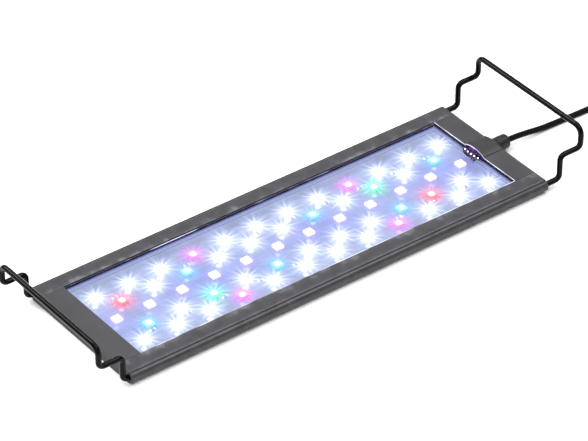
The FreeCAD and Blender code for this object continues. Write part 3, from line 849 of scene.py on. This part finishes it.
# a thin film round the window's four walls: the outer and inner outline at each level, closed all round
def windowRing(name, levels, material):
    endX, endY = housing["halfWindowLength"], housing["halfWindowWidth"]
    rings = [(0, levels[0]), (0, levels[-1])] + [(film["thickness"], z) for z in reversed(levels)]
    corners = [(1, 1), (-1, 1), (-1, -1), (1, -1)]
    points = np.array([[(sx * (endX - inset), sy * (endY - inset), z) for inset, z in rings] for sx, sy in corners])
    faces = gridFaces(4, len(rings), wrapRows=True, wrapColumns=True).tolist()
    return placePiece(name, points * mm, faces, material, sharp=20, weld=False), points.reshape(-1, 3)


# painted light on the window's walls below the cover: a thin film whose glow stands in for the board's light dying out
# up the wall, from pale to deep blue
def makeFilms():
    material, tree, shader = newMaterial("paintedWallGlow", {"Roughness": 0.25, "Base Color": colour("#3a3f5c"),
                                         "Emission Strength": 1.0})
    glow = addNode(tree, "ShaderNodeAttribute", {"attribute_name": "glow"})
    tree.links.new(glow.outputs["Color"], shader.inputs["Emission Color"])
    piece, points = windowRing("paintedWallGlow", film["levels"], material)
    # painted light: pale near the board, deep blue higher up the wall
    deep, pale = (np.array(colour(code)[:3]) for code in ("#1c2060", "#989ec4"))
    up = np.clip((points[:, 2] - film["paleTop"]) / film["fade"], 0, 1)[:, None]
    setGlow(piece, pale * (1 - up) + deep * up)
    windowRing("coverGasket", film["gasket"], blackFinish)


# the smoked lens fills the arch and goes on as a thin half-oval plate on the cover: with b = sqrt(1 - t^2),
# P(y, v) = (end - reach b out(v), y, foot + plate edge(v) + wall height(y) wall(v))
def makeLens():
    end, half, foot = housing["halfWindowLength"] - 0.02, hump["width"] / 2 - lens["inset"], lens["foot"]
    y = np.linspace(-half, half, 41)
    bulge = np.sqrt(np.maximum(1 - (y / half) ** 2, 0))
    wallHeight = housing["height"] - 0.2 + archRise(y) - foot - lens["plate"]
    out, wall, edge = (np.array(lens[key], dtype=float)[:, None] for key in ("out", "wall", "edge"))
    front = np.stack(np.broadcast_arrays(end - lens["reach"] * bulge * out, y[None],
                                         foot + lens["plate"] * edge + wallHeight * wall), axis=-1)
    back = front.copy()
    back[:, :, 0] = end
    points, faces = closedSheets(front, back, closeColumns=False)      # its two side rims are single lines
    placePiece("smokedLens", points * mm, faces, smokedAcrylic())
    # painted reflections: a row of small glowing balls on the lens stands in for the LEDs mirrored in the arch
    across = (np.arange(lens["dots"]) - (lens["dots"] - 1) / 2) * lens["dotGap"]
    reach = lens["reach"] * (0.19 + 0.28 * np.sqrt(1 - (across / half) ** 2))
    places = np.stack([end - reach, across, np.full_like(across, foot + lens["plate"])], axis=-1)
    p, q = np.meshgrid(np.radians(np.linspace(-88, 88, 7)), np.linspace(0, 2 * math.pi, 12, endpoint=False),
                       indexing="ij")
    ball = lens["dotRadius"] * np.stack([np.cos(p) * np.cos(q), np.cos(p) * np.sin(q), np.sin(p)], axis=-1)
    scattered("paintedLensReflectionDots", ball.reshape(-1, 3), gridFaces(7, 12, wrapColumns=True), places,
              litGel("paintedLensReflectionDot", "#f0dcff", 5))


# smoked violet acrylic: almost black at the foot, and a painted pink highlight, emitted in patches towards the arch
def smokedAcrylic():
    material, tree, shader = newMaterial("smokedVioletAcrylic", {"Roughness": 0.05, "IOR": 1.49})
    place = addNode(tree, "ShaderNodeTexCoord").outputs["Object"]
    split = addNode(tree, "ShaderNodeSeparateXYZ", None, {"Vector": place})
    depth = addNode(tree, "ShaderNodeTexNoise", {"Scale": 1 / (3 * mm), "Detail": 1}, {"Vector": place})
    up = addNode(tree, "ShaderNodeMapRange", {"From Min": 7.8 * mm, "From Max": 9.8 * mm},
                 {"Value": split.outputs["Z"]})
    patch = addNode(tree, "ShaderNodeMapRange", {"From Min": 0.4, "From Max": 0.6}, {"Value": depth.outputs["Fac"]})
    share = addNode(tree, "ShaderNodeMath", {"operation": "MULTIPLY"}, {0: up.outputs["Result"],
                                                                      1: patch.outputs["Result"]})
    tint = addNode(tree, "ShaderNodeValToRGB", {"stops": [(0.35, colour("#080218")), (0.65, colour("#1c0844"))]},
                   {"Fac": depth.outputs["Fac"]})
    # painted highlight: pink emission in patches, rising towards the arch
    glow = addNode(tree, "ShaderNodeValToRGB", {"stops": [(0.0, colour("#140538")), (0.4, colour("#a04cc0")),
                   (1.0, colour("#f4b4f0"))]}, {"Fac": share.outputs["Value"]})
    tree.links.new(tint.outputs["Color"], shader.inputs["Base Color"])
    tree.links.new(glow.outputs["Color"], shader.inputs["Emission Color"])
    shader.inputs["Emission Strength"].default_value = 0.7
    return material


makeBeads()
makeFilms()
makeLens()
print("beads and lens ready")


for node in ("left_rod_bushes", "right_rod_bushes", "left_leg_stops", "right_leg_stops", "coil_tie", "plug_grip",
             "plug_liner", "negative_lead"):
    setNode(node, blackFinish)
for node in ("left_cap_screws", "right_cap_screws"):
    setNode(node, screwFinish)
for node in ("plug_barrel", "plug_contact"):
    setNode(node, nickelFinish)
# the cover seals glow with the same painted glints
sealPaintedGlintFinish = paintedGlintFinish("siliconeSealPaintedGlint", "#8f98c8", 20, 0.5, 1.0)
for node in ("left_cover_seal", "right_cover_seal"):
    setNode(node, sealPaintedGlintFinish)
setNode("back_panel", railFinish)
setNode("positive_lead", redFinish)
setNode("thermal_pad", padFinish)
setNode("cover_sheet", coverFinish)
print("all pieces have their finish")
